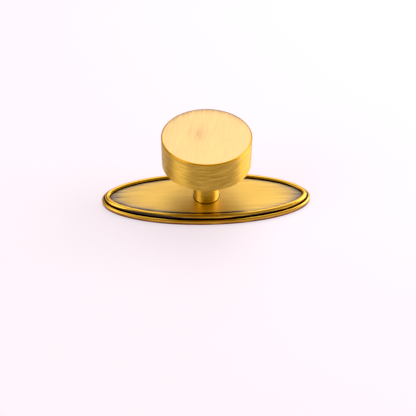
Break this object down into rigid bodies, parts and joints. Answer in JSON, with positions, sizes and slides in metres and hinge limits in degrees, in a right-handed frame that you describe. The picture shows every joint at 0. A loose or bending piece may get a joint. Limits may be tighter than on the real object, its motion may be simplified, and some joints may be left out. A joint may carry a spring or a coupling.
{
  "type": "cabinet knob with backplate",
  "caption": "Round flat-faced cabinet knob on a straight stem, standing on a long oval backplate with a moulded rim, for pulling a drawer or cupboard door open.",
  "frame": {"origin": "middle of the backplate's flat back, on the screw's axis", "axes": "+X along the plate's length, +Y across it, +Z out of the drawer front through the knob"},
  "size_m": [0.0775, 0.032, 0.0303],
  "materials": {
    "knob_brass": "brushed antique brass, clear-lacquered",
    "backplate_brass": "brushed antique brass with dark patina in the groove and along the foot of the bead"
  },
  "bodies": {
    "root": {"knob": "knob_brass", "backplate": "backplate_brass"}
  },
  "joints": []
}
